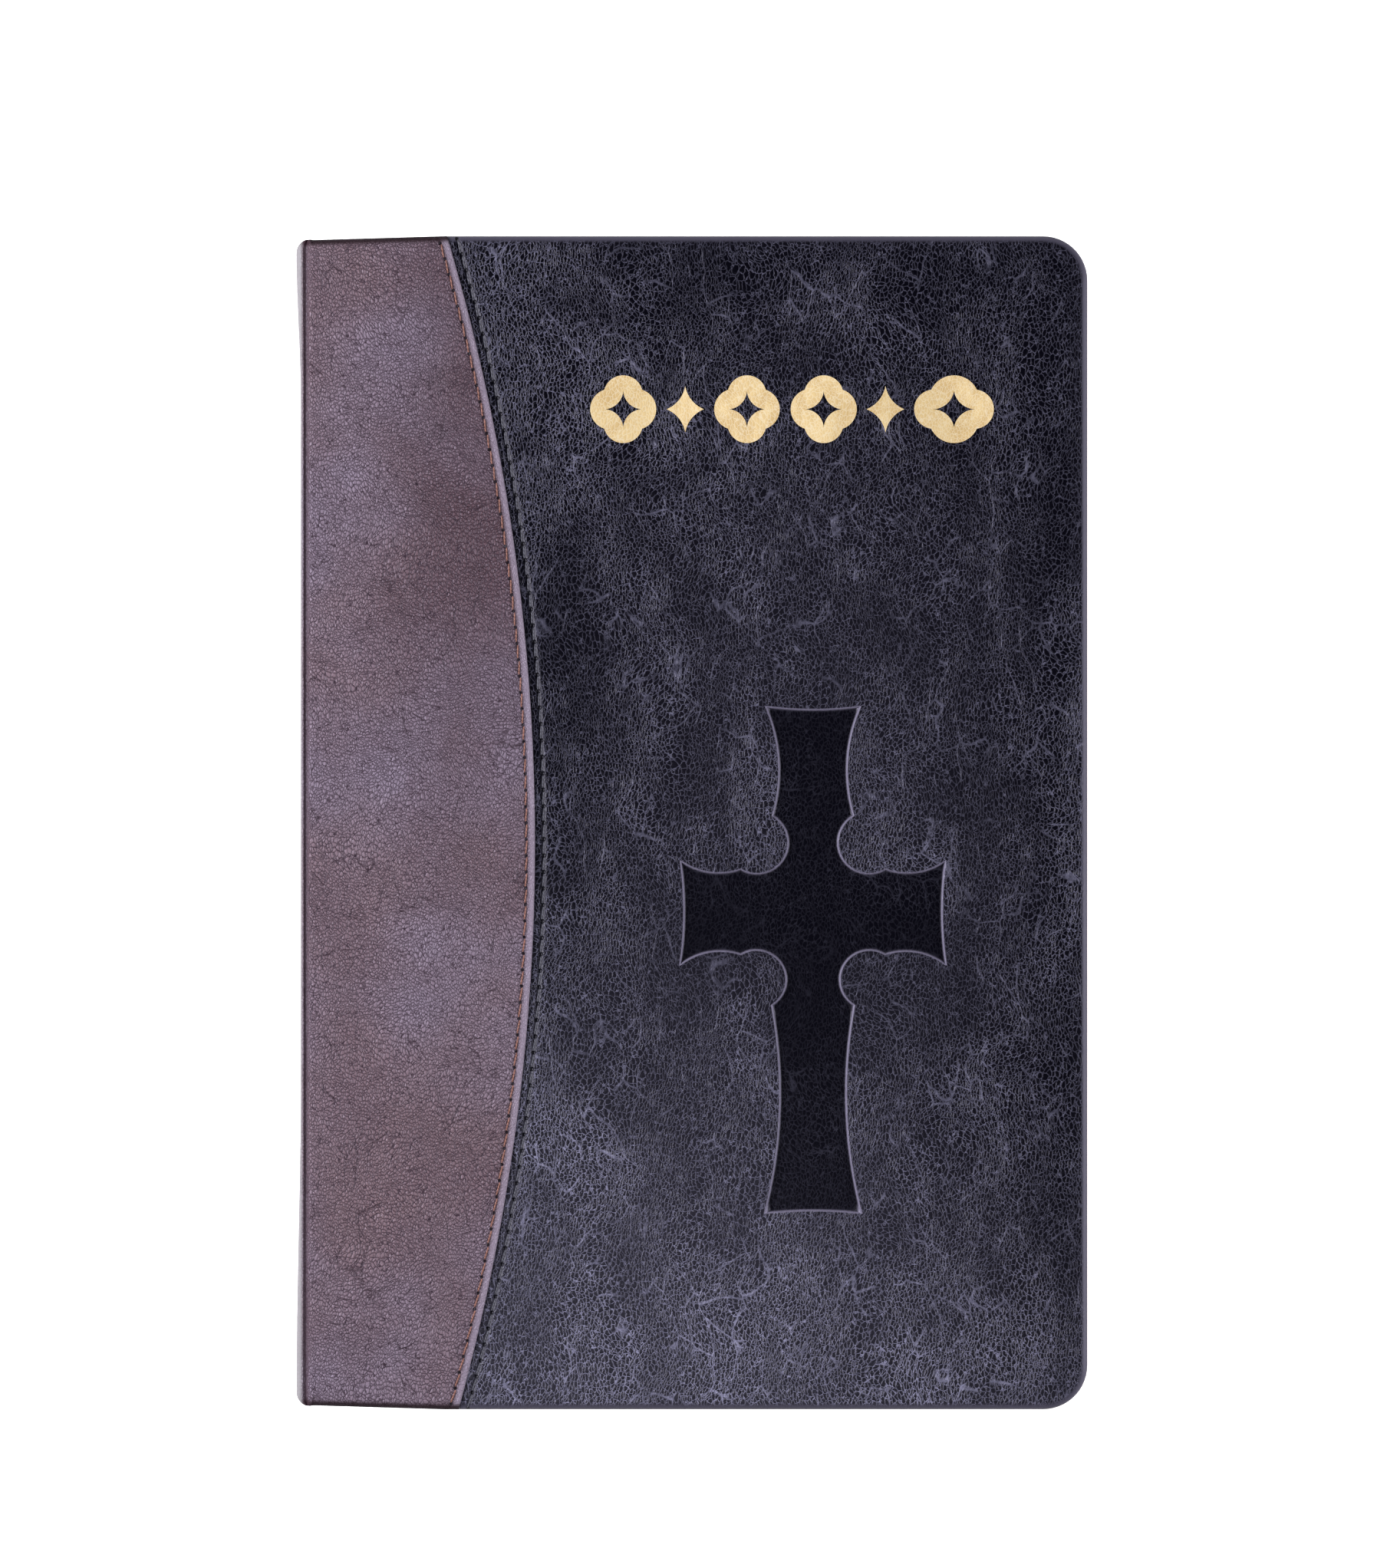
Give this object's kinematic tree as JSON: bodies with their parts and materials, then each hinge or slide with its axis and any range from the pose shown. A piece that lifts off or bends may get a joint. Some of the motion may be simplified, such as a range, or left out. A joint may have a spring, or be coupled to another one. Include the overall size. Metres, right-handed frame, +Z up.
{
  "type": "bible",
  "caption": "Closed thick bible in two-tone imitation leather with a curved stitched seam, sunk cross and gold foil ornaments; covers and pages open on hinges.",
  "frame": {"origin": "middle of the closed book's footprint, on the surface it lies on", "axes": "+Z up through the front cover, +Y towards the head of the book, -X towards the spine"},
  "size_m": [0.145, 0.215, 0.038],
  "materials": {
    "black_leather": "crackle-grained imitation leather, satin",
    "brown_leather": "crackle-grained imitation leather, satin",
    "brown_thread": "copper-brown sewing thread",
    "black_thread": "black sewing thread",
    "gold_foil": "hot-stamped gold foil, satin",
    "board": "grey-brown binder's board",
    "endpaper": "smooth cream endpaper",
    "page_paper": "thin opaque bible paper with gilt edges",
    "lining_cloth": "open-weave lining cloth",
    "headband_cloth": "woven cotton band"
  },
  "bodies": {
    "back_half": {"back_board": "board", "back_infill_card": "board", "back_pastedown": "endpaper", "back_quarter_leather": "brown_leather", "back_black_panel": "black_leather", "back_brown_stitching": "brown_thread", "back_black_stitching": "black_thread", "back_flyleaf": "endpaper", "lower_spine_leather": "brown_leather", "lower_spine_card": "board", "lower_spine_lining": "lining_cloth", "lower_sewing_tapes": "lining_cloth", "lower_headband": "headband_cloth", "lower_tailband": "headband_cloth", "lower_section_1": "page_paper", "lower_section_2": "page_paper", "lower_section_3": "page_paper", "lower_section_4": "page_paper", "lower_section_5": "page_paper", "lower_section_6": "page_paper"},
    "front_half": {"upper_spine_leather": "brown_leather", "upper_spine_card": "board", "upper_spine_lining": "lining_cloth", "upper_sewing_tapes": "lining_cloth", "upper_headband": "headband_cloth", "upper_tailband": "headband_cloth", "upper_section_1": "page_paper", "upper_section_2": "page_paper", "upper_section_3": "page_paper", "upper_section_4": "page_paper", "upper_section_5": "page_paper", "upper_section_6": "page_paper"},
    "front_cover": {"front_board": "board", "front_infill_card": "board", "front_pastedown": "endpaper", "front_quarter_leather": "brown_leather", "front_black_panel": "black_leather", "front_brown_stitching": "brown_thread", "front_black_stitching": "black_thread", "front_foil_ornaments": "gold_foil"},
    "front_flyleaf": {"front_flyleaf": "endpaper"},
    "middle_leaf_1": {"middle_leaf_1": "page_paper"},
    "middle_leaf_2": {"middle_leaf_2": "page_paper"},
    "middle_leaf_3": {"middle_leaf_3": "page_paper"},
    "middle_leaf_4": {"middle_leaf_4": "page_paper"}
  },
  "joints": [
    {"name": "book_opening", "type": "hinge", "parent": "back_half", "child": "front_half", "pos_m": [-0.0727, 0, 0.019], "axis": [0, -1, 0], "range_deg": [0, 175]},
    {"name": "front_cover_hinge", "type": "hinge", "parent": "front_half", "child": "front_cover", "pos_m": [-0.0706, 0, 0.0382], "axis": [0, -1, 0], "range_deg": [0, 180]},
    {"name": "front_flyleaf_turn", "type": "hinge", "parent": "front_half", "child": "front_flyleaf", "pos_m": [-0.0706, 0, 0.0382], "axis": [0, -1, 0], "range_deg": [0, 162.1]},
    {"name": "middle_leaf_1_turn", "type": "hinge", "parent": "back_half", "child": "middle_leaf_1", "pos_m": [-0.0727, 0, 0.019], "axis": [0, -1, 0], "range_deg": [0, 10.6]},
    {"name": "middle_leaf_2_turn", "type": "hinge", "parent": "back_half", "child": "middle_leaf_2", "pos_m": [-0.0727, 0, 0.019], "axis": [0, -1, 0], "range_deg": [0, 52.6]},
    {"name": "middle_leaf_3_turn", "type": "hinge", "parent": "back_half", "child": "middle_leaf_3", "pos_m": [-0.0727, 0, 0.019], "axis": [0, -1, 0], "range_deg": [0, 115.6]},
    {"name": "middle_leaf_4_turn", "type": "hinge", "parent": "back_half", "child": "middle_leaf_4", "pos_m": [-0.0727, 0, 0.019], "axis": [0, -1, 0], "range_deg": [0, 162.85]}
  ],
  "couplings": [
    {"joint": "front_flyleaf_turn", "follows": "front_cover_hinge", "ratio": 0.9},
    {"joint": "middle_leaf_1_turn", "follows": "book_opening", "ratio": 0.06},
    {"joint": "middle_leaf_2_turn", "follows": "book_opening", "ratio": 0.3},
    {"joint": "middle_leaf_3_turn", "follows": "book_opening", "ratio": 0.66},
    {"joint": "middle_leaf_4_turn", "follows": "book_opening", "ratio": 0.93}
  ]
}
